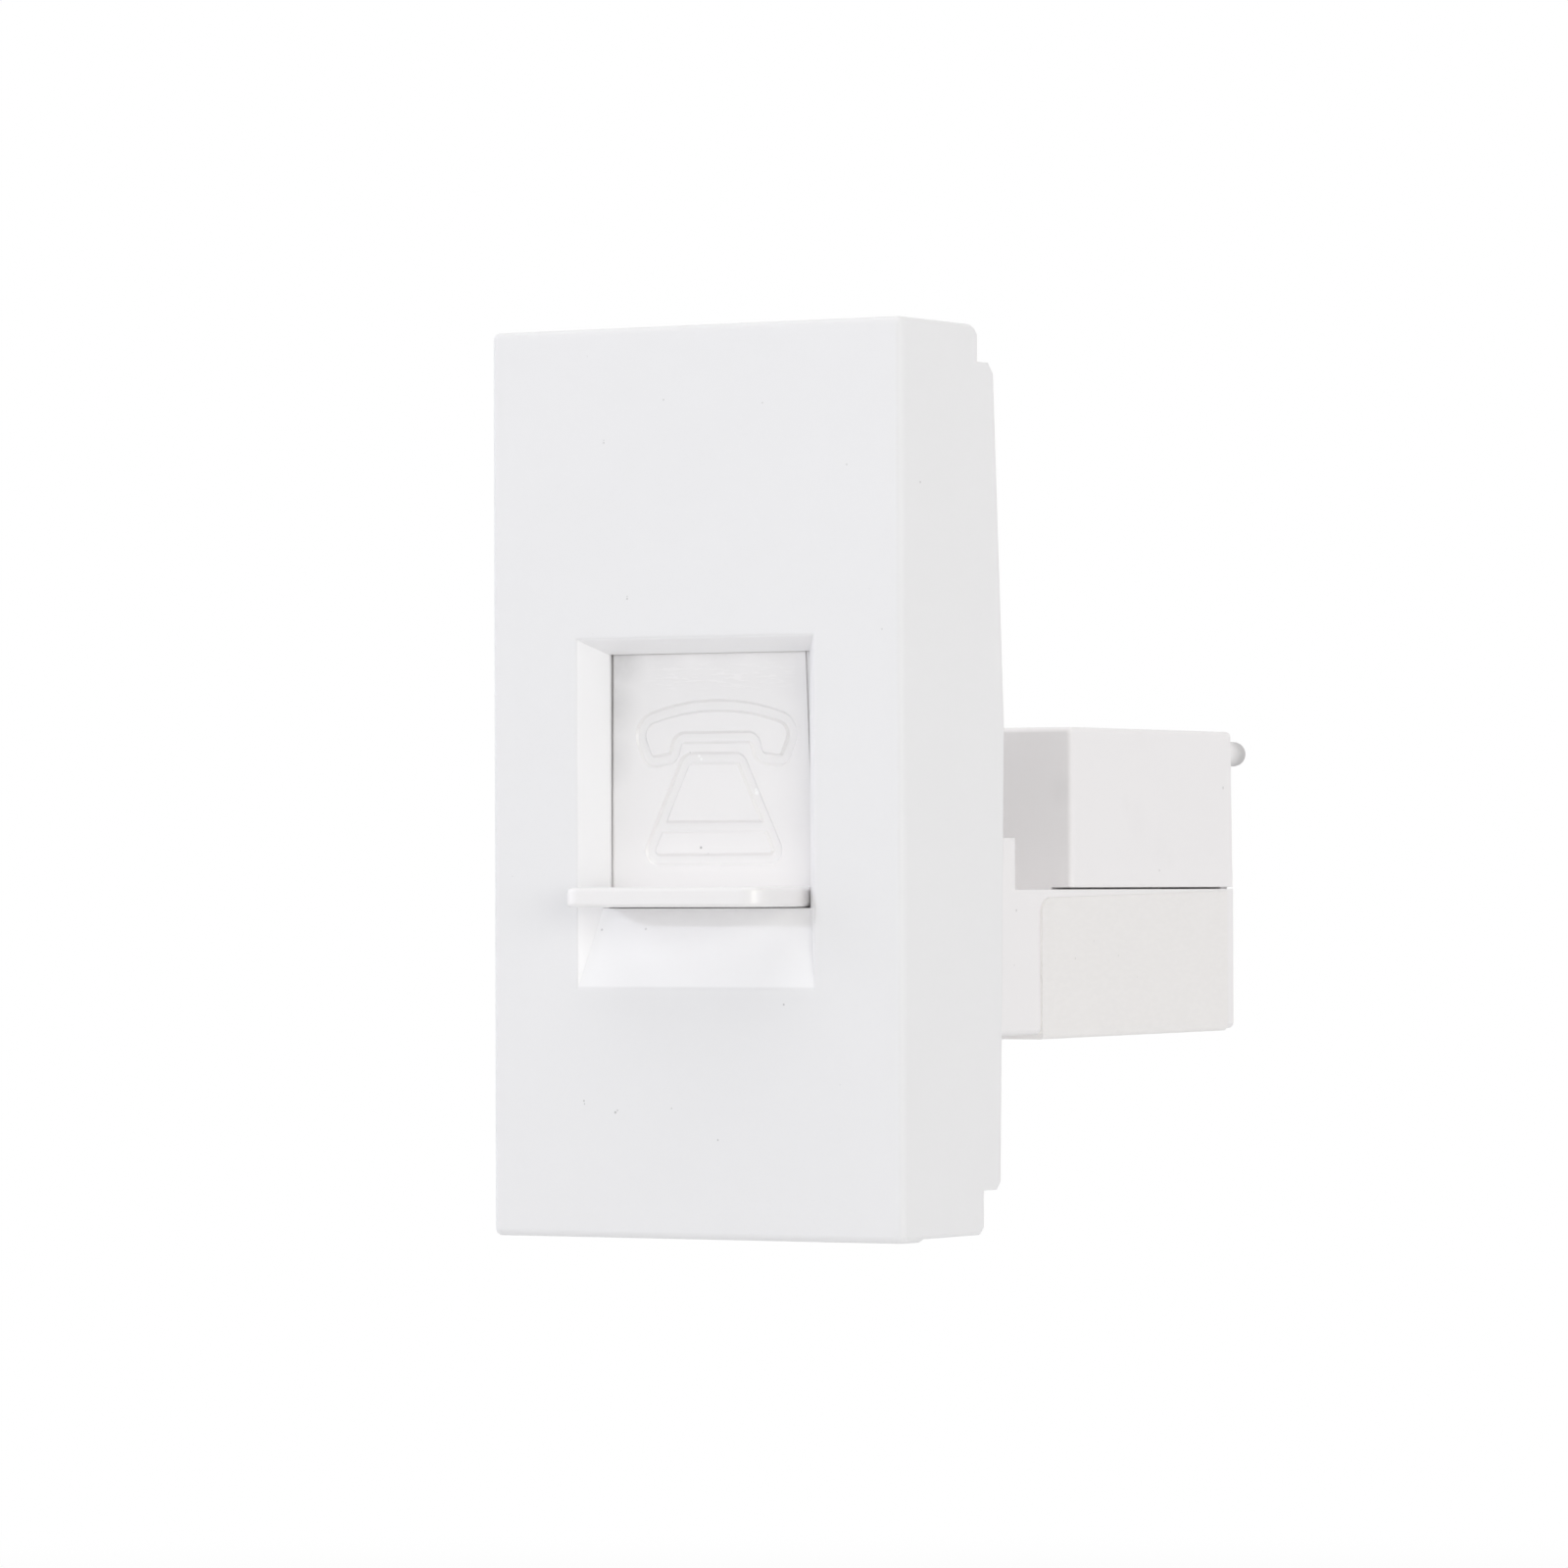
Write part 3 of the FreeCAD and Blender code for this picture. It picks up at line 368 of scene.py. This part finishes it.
# Label paper
FIBRE_STRETCH = (1.0, 0.35, 1.0)
FIBRE_SCALE = 5200.0
FIBRE_RANGE = (0.4, 0.65)
FIBRE_SHADE = 1.01
FIBRE_STRENGTH = 0.3
FIBRE_DEPTH = 0.01 * MM
PAPER_CLOUD_SCALE = 260.0
PAPER_CLOUD_SHADE = 0.992
PAPER_ROUGHNESS = 0.75
PAPER_SPECULAR = 0.3

# Metals: the roughness varies with the streaks between these factors
STREAK_SCALE = 5000.0
STREAK_RANGE = (0.3, 0.7)
STREAK_STRENGTH = 0.3
STREAK_DEPTH = 0.004 * MM
STREAK_SMOOTHEST = 0.75
STREAK_ROUGHEST = 1.35
METAL_CLOUD_SCALE = 600.0
METAL_CLOUD_SHADE = 0.82

# Circuit board
WEAVE_SCALE = 400.0
WEAVE_STRENGTH = 0.3
WEAVE_DEPTH = 0.01 * MM
MASK_CLOUD_SCALE = 300.0
MASK_ROUGHNESS = 0.3
MASK_DARK = (0.03, 0.17, 0.075, 1.0)
MASK_LIGHT = (0.045, 0.22, 0.1, 1.0)
MASK_MIDDLE = (0.04, 0.2, 0.09, 1.0)


def clouded(nodes, where, colour, scale, darker):
    cloud = nodes.noise(where, scale, MEDIUM)
    return nodes.mix(nodes.ramp(cloud, *CLOUD_RANGE), shade(colour, darker), shade(colour, 1.0))


def dust(nodes, where):
    """Sparse dark grains moulded into the surface: 1 on a grain."""
    inputs = {"Vector": where, "Scale": DUST_CELLS, "Randomness": 1.0}
    cells = nodes.add("ShaderNodeTexVoronoi", None, inputs).outputs
    near = nodes.ramp(cells["Distance"], DUST_CORE, DUST_EDGE, 1.0, 0.0)
    chosen = nodes.math("GREATER_THAN", cells["Color"], DUST_CHOSEN)
    return nodes.times(near, chosen)


def plastic(name, colour, roughness, grain, marks=(), nicks=(), smudges_and_shade=(), scuffs=None, recess=None,
            painted_light_fades=(), coat=0.0):
    """Moulded plastic: clouded tone, spark grain, sparse dust, and the marks that the photo shows."""
    material, nodes = new_material(name)
    where = nodes.object_place()
    fine = nodes.noise(where, GRAIN_SCALE, PLAIN)
    tone = clouded(nodes, where, colour, PLASTIC_CLOUD_SCALE, PLASTIC_CLOUD_SHADE)
    tone = nodes.mix(nodes.times(fine, GRAIN_SHARE), tone, shade(colour, GRAIN_SHADE))
    height = nodes.times(fine, grain)
    gloss = nodes.ramp(fine, *GRAIN_RANGE, roughness - GRAIN_GLOSS, roughness + GRAIN_GLOSS)
    if recess:
        # painted light: the window's ramp and bevels are painted paler; their lower roughness is real
        # polish
        polish_and_painted_light = recess(nodes, where)
        tone = nodes.mix(polish_and_painted_light, tone, shade(colour, RECESS_PAINTED_LIGHT))
        gloss = nodes.math("SUBTRACT", gloss, nodes.times(polish_and_painted_light, RECESS_POLISH))
        height = nodes.times(height, nodes.math("SUBTRACT", 1.0, polish_and_painted_light))
    # painted shade and painted light: the shutter's panel darker towards the top and paler towards its
    # ledge
    for share, factor in painted_light_fades:
        tone = nodes.mix(share(nodes, where), tone, shade(colour, factor))
    if smudges_and_shade:
        # smudges and painted shade: real smears, and painted shade where nearby parts keep light off
        patchy = nodes.ramp(nodes.noise(where, SMUDGE_AND_SHADE_SCALE, RICH), *SMUDGE_AND_SHADE_RANGE, SMUDGE_AND_SHADE_LEAST, 1.0)
        dirt_and_shade = nodes.times(nodes.spots(where, smudges_and_shade, SMUDGE_AND_SHADE_CORE), patchy)
        tone = nodes.mix(dirt_and_shade, tone, shade(colour, SMUDGE_AND_SHADE_FACTOR))
    specks = nodes.times(dust(nodes, where), DUST_SHARE)
    if marks:
        specks = nodes.math("MAXIMUM", specks, nodes.spots(where, marks))
    tone = nodes.mix(specks, tone, shade(colour, MARK_SHADE))
    if nicks:
        chips = nodes.spots(where, nicks)
        tone = nodes.mix(chips, tone, NICK_COLOUR)
        height = nodes.math("ADD", height, chips)
    if scuffs:
        rubbed = scuffs(nodes, where)
        height = nodes.math("ADD", height, nodes.times(rubbed, SCUFF_HEIGHT))
        tone = nodes.mix(nodes.times(rubbed, SCUFF_SHARE), tone, shade(colour, SCUFF_SHADE))
    edges = nodes.soft_edges()
    skin = {"Coat Weight": coat, "Coat Roughness": COAT_ROUGHNESS, "Coat Normal": edges} if coat else None
    nodes.surface(tone, gloss, nodes.bump(height, GRAIN_STRENGTH, GRAIN_DEPTH, edges), skin)
    return material


def window_recess(nodes, where):
    """1 on the window's ramp, less on its bevels: there the plate is polished and painted paler, as painted
    light.
    """
    place = nodes.axes(where)
    deep = nodes.ramp(place["Y"], RECESS_START, RECESS_FULL)
    across = nodes.between(place["X"], -RECESS_HALF_WIDTH, RECESS_HALF_WIDTH, RECESS_SOFTNESS)
    upright = nodes.between(place["Z"], RECESS_LOW, RECESS_HIGH, RECESS_SOFTNESS)
    share = nodes.ramp(place["Z"], RAMP_TOP - RECESS_START, RAMP_TOP + RECESS_START, 1.0, BEVEL_SHARE)
    return nodes.times(share, nodes.times(deep, nodes.times(across, upright)))


def panel_share(nodes, where, start, full):
    """On the shutter's panel alone, not on its ledge: 0 at the start height, 1 at the full height."""
    place = nodes.axes(where)
    panel = nodes.ramp(place["Y"], PANEL_START, PANEL_FULL)
    return nodes.times(panel, nodes.ramp(place["Z"], start, full))


def painted_shade_upper_panel(nodes, where):
    """The panel's upper part, painted a little darker: painted shade."""
    return panel_share(nodes, where, PAINTED_SHADE_START, PAINTED_SHADE_FULL)


def painted_light_lower_panel(nodes, where):
    """The panel's lower part, painted paler: painted light."""
    return panel_share(nodes, where, PAINTED_LIGHT_START, PAINTED_LIGHT_FULL)


def shutter_scuffs(nodes, where):
    """Fine wavy rubbing lines across the shutter, just under the window's top edge."""
    place = nodes.axes(where)
    waves = nodes.noise(nodes.stretched(where, SCUFF_STRETCH), SCUFF_SCALE, PLAIN)
    lines = nodes.ramp(waves, *SCUFF_RANGE)
    across = nodes.between(place["X"], SCUFF_LEFT, SCUFF_RIGHT, SCUFF_FADE_ACROSS)
    upright = nodes.between(place["Z"], SCUFF_LOW, SCUFF_HIGH, SCUFF_FADE_UP)
    return nodes.times(lines, nodes.times(across, upright))


def paper(name, colour, marks):
    """Uncoated label stock: fibres, slight clouds, a few specks, matt."""
    material, nodes = new_material(name)
    where = nodes.object_place()
    fibres = nodes.noise(nodes.stretched(where, FIBRE_STRETCH), FIBRE_SCALE, RICH)
    tone = clouded(nodes, where, colour, PAPER_CLOUD_SCALE, PAPER_CLOUD_SHADE)
    tone = nodes.mix(nodes.ramp(fibres, *FIBRE_RANGE), tone, shade(colour, FIBRE_SHADE))
    tone = nodes.mix(nodes.spots(where, marks), tone, shade(colour, MARK_SHADE))
    normal = nodes.bump(fibres, FIBRE_STRENGTH, FIBRE_DEPTH, nodes.soft_edges())
    nodes.surface(tone, PAPER_ROUGHNESS, normal, {"Specular IOR Level": PAPER_SPECULAR})
    return material


def metal(name, colour, roughness, stretch):
    """Drawn or stamped metal: streaks along the stock, clouded brightness."""
    material, nodes = new_material(name)
    where = nodes.object_place()
    streaks = nodes.noise(nodes.stretched(where, stretch), STREAK_SCALE, MEDIUM)
    tone = clouded(nodes, where, colour, METAL_CLOUD_SCALE, METAL_CLOUD_SHADE)
    gloss = nodes.ramp(streaks, *STREAK_RANGE, roughness * STREAK_SMOOTHEST, roughness * STREAK_ROUGHEST)
    nodes.surface(tone, gloss, nodes.bump(streaks, STREAK_STRENGTH, STREAK_DEPTH), {"Metallic": 1.0})
    return material


def laminate(name):
    """Green solder mask over a woven board."""
    material, nodes = new_material(name)
    where = nodes.object_place()
    warp = nodes.add("ShaderNodeTexWave", {"bands_direction": "X"}, {"Vector": where, "Scale": WEAVE_SCALE})
    weft = nodes.add("ShaderNodeTexWave", {"bands_direction": "Y"}, {"Vector": where, "Scale": WEAVE_SCALE})
    weave = nodes.times(warp.outputs["Fac"], weft.outputs["Fac"])
    tone = nodes.mix(weave, MASK_DARK, MASK_LIGHT)
    tone = nodes.mix(nodes.noise(where, MASK_CLOUD_SCALE, MEDIUM), tone, MASK_MIDDLE)
    nodes.surface(tone, MASK_ROUGHNESS, nodes.bump(weave, WEAVE_STRENGTH, WEAVE_DEPTH))
    return material


def dress(node, material):
    part = frame["nodes"][node]
    part.data.materials.clear()
    part.data.materials.append(material)


# Springs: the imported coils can't shorten with the shutter, so wound ones stand for them

SPRING_TURNS = 20
SPRING_WIRE = 0.16 * MM
STEPS_PER_TURN = 20
WIRE_SIDES = 8


def coil_points(low, high):
    """Rings of points round the wire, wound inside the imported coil's box."""
    middle = (low + high) / 2
    radius = (high.x - low.x - SPRING_WIRE) / 2
    bottom = low.z + SPRING_WIRE / 2
    length = high.z - low.z - SPRING_WIRE
    count = SPRING_TURNS * STEPS_PER_TURN
    points = []
    for step in range(count + 1):
        turn = 2 * math.pi * step / STEPS_PER_TURN
        outward = Vector((math.cos(turn), math.sin(turn), 0))
        centre = Vector((middle.x, middle.y, bottom + length * step / count)) + outward * radius
        for side in range(WIRE_SIDES):
            angle = 2 * math.pi * side / WIRE_SIDES
            offset = outward * math.cos(angle) + Vector((0, 0, math.sin(angle)))
            points.append(centre + offset * (SPRING_WIRE / 2))
    return points


def coil_faces():
    """The wire's skin between the rings, and its two ends."""
    last = SPRING_TURNS * STEPS_PER_TURN * WIRE_SIDES
    faces = []
    for ring in range(0, last, WIRE_SIDES):
        for side in range(WIRE_SIDES):
            first = ring + side
            second = ring + (side + 1) % WIRE_SIDES
            faces.append((first, second, second + WIRE_SIDES, first + WIRE_SIDES))
    faces.append(tuple(range(WIRE_SIDES - 1, -1, -1)))
    faces.append(tuple(range(last, last + WIRE_SIDES)))
    return faces


def wind_spring(node, material):
    low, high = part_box(node)
    mesh = bpy.data.meshes.new(node + "_coil")
    mesh.from_pydata(coil_points(low, high), [], coil_faces())
    mesh.shade_smooth()
    mesh.materials.append(material)
    coil = add_object(node + "_coil", mesh)
    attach(coil, "module")
    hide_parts(node)
    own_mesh(coil)


make_camera()
make_world()
make_floor()
make_lamps()

# Small marks read from the photo: x, y, z and radius in millimetres, and strength. The smudges also stand
# for places that look
# darker in the photo: on the shutter they are painted shade, on the jack partly real smears and partly
# painted shade
PANEL_FRONT = 1.67
NICK_DEPTH = 1.72
LINE_DEPTH = 1.7
JACK_SIDE = 7.25
CAP_FRONT = 25.2
LABEL_SIDE = 7.37
PLATE_MARKS = [
    (5.07, 0, -10.93, 0.07, 0.6), (1.29, 0, -17.59, 0.06, 0.6), (-1.37, 0, -16.07, 0.05, 0.5),
    (-6.45, 0, -15.75, 0.06, 0.7), (-6.42, 0, -15.9, 0.05, 0.6), (-4.62, 0, -16.3, 0.09, 0.6),
    (-4.5, 0, -16.2, 0.06, 0.5), (-3.85, 0, 9.08, 0.06, 0.6), (-3.85, 0, 9.2, 0.05, 0.4),
    (-5.19, 0, 16.83, 0.07, 0.35), (-5.19, 0, 16.95, 0.05, 0.3), (-1.71, 0, 18.85, 0.07, 0.3),
    (3.97, 0, 18.52, 0.06, 0.3), (8.73, 0, 15.36, 0.07, 0.3), (10.68, 0, 7.31, 0.07, 0.25),
    (11.8, 1.83, 14.49, 0.08, 0.5), (-5.88, 0.82, -7.28, 0.09, 0.35), (-3.33, 0.83, -7.24, 0.09, 0.35),
]
SHUTTER_MARKS = [
    (-0.64, PANEL_FRONT, -3.23, 0.09, 0.7), (-1.26, PANEL_FRONT, 1.47, 0.06, 0.4),
    (-0.23, PANEL_FRONT, -3.53, 0.05, 0.3), (0.3, PANEL_FRONT, 2.45, 0.06, 0.4),
]
# painted shade along the shutter's top and left edges, where the window's bevels keep light off
SHUTTER_PAINTED_SHADE = [
    (-5.6, PANEL_FRONT, 6.6, 2.6, 0.7), (-6.2, PANEL_FRONT, 3.9, 2.4, 0.5),
    (-6.4, PANEL_FRONT, 1.2, 2.2, 0.4), (-3.0, PANEL_FRONT, 7.3, 2.4, 0.35),
    (0.5, PANEL_FRONT, 7.3, 2.3, 0.25), (3.6, PANEL_FRONT, 7.3, 2.1, 0.22),
]
SHUTTER_NICKS = [
    (2.5, NICK_DEPTH, -0.55, 0.17, 1.0), (2.46, NICK_DEPTH, -0.4, 0.13, 1.0),
    (-0.8, NICK_DEPTH, 1.3, 0.13, 1.0), (-0.68, NICK_DEPTH, 1.14, 0.13, 1.0),
    (-1.0, LINE_DEPTH, -2.2, 0.09, 0.8), (-1.5, LINE_DEPTH, -2.3, 0.08, 0.7),
]
JACK_MARKS = [
    (5.6, CAP_FRONT, 0.43, 0.09, 0.4), (JACK_SIDE, 42.13, 0.01, 0.12, 0.35),
    (JACK_SIDE, 34.92, -4.37, 0.1, 0.3), (JACK_SIDE, 19.49, -6.41, 0.1, 0.4),
    (JACK_SIDE, 19.26, -9.19, 0.07, 0.2), (5.99, CAP_FRONT, -3.71, 0.08, 0.3),
]
# first row: painted shade on the cap's front; last row: painted shade on the lug; the rows between are real
# faint smears on the side
JACK_SMUDGES_AND_SHADE = [
    (6.69, CAP_FRONT, -0.24, 1.2, 0.08), (JACK_SIDE, 32.4, -1.66, 1.6, 0.04),
    (JACK_SIDE, 35.1, -3.2, 1.3, 0.03), (JACK_SIDE, 31.4, -1.0, 0.9, 0.03),
    (JACK_SIDE, 36.2, -3.9, 0.8, 0.03), (6.2, 46.3, 1.85, 3.0, 1.6),
]
LABEL_MARKS = [
    (LABEL_SIDE, 25.5, -8.9, 0.07, 0.3), (LABEL_SIDE, 30.16, -8.79, 0.08, 0.2),
    (LABEL_SIDE, 32.19, -9.93, 0.07, 0.12), (LABEL_SIDE, 27.51, -8.01, 0.08, 0.15),
]

# One finish for each material slot. Plastics: colour, roughness, height of the grain. Metals: colour,
# roughness, how the streaks are stretched
FINISHES = {
    "plate_plastic": plastic("plate_plastic", (0.832, 0.828, 0.837), 0.42, 1.0, marks=PLATE_MARKS,
                             recess=window_recess),
    "shutter_plastic": plastic("shutter_plastic", (0.864, 0.850, 0.852), 0.33, 0.3, marks=SHUTTER_MARKS,
                               nicks=SHUTTER_NICKS, smudges_and_shade=SHUTTER_PAINTED_SHADE, scuffs=shutter_scuffs,
                               painted_light_fades=[(painted_shade_upper_panel, PAINTED_SHADE_FACTOR), (painted_light_lower_panel, PAINTED_LIGHT_FACTOR)], coat=0.5),
    "carrier_plastic": plastic("carrier_plastic", (0.84, 0.835, 0.84), 0.45, 0.8),
    "jack_plastic": plastic("jack_plastic", (0.884, 0.866, 0.872), 0.45, 0.8, marks=JACK_MARKS,
                            smudges_and_shade=JACK_SMUDGES_AND_SHADE),
    "insert_plastic": plastic("insert_plastic", (0.045, 0.045, 0.05), 0.4, 0.6),
    "label_paper": paper("label_paper", (0.888, 0.869, 0.861), LABEL_MARKS),
    "board_laminate": laminate("board_laminate"),
    "contact_metal": metal("contact_metal", (0.83, 0.66, 0.3), 0.2, (1.0, 0.2, 1.0)),
    "blade_metal": metal("blade_metal", (0.7, 0.69, 0.66), 0.28, (1.0, 1.0, 0.2)),
    "spring_steel": metal("spring_steel", (0.6, 0.6, 0.62), 0.22, (1.0, 1.0, 1.0)),
}
for subpart in frame["record"]["subparts"]:
    dress(subpart["node"], FINISHES[subpart["material_slot"]])
for name in ("shutter_spring_left", "shutter_spring_right"):
    wind_spring(name, FINISHES["spring_steel"])

bpy.context.scene.view_settings.view_transform = "Standard"
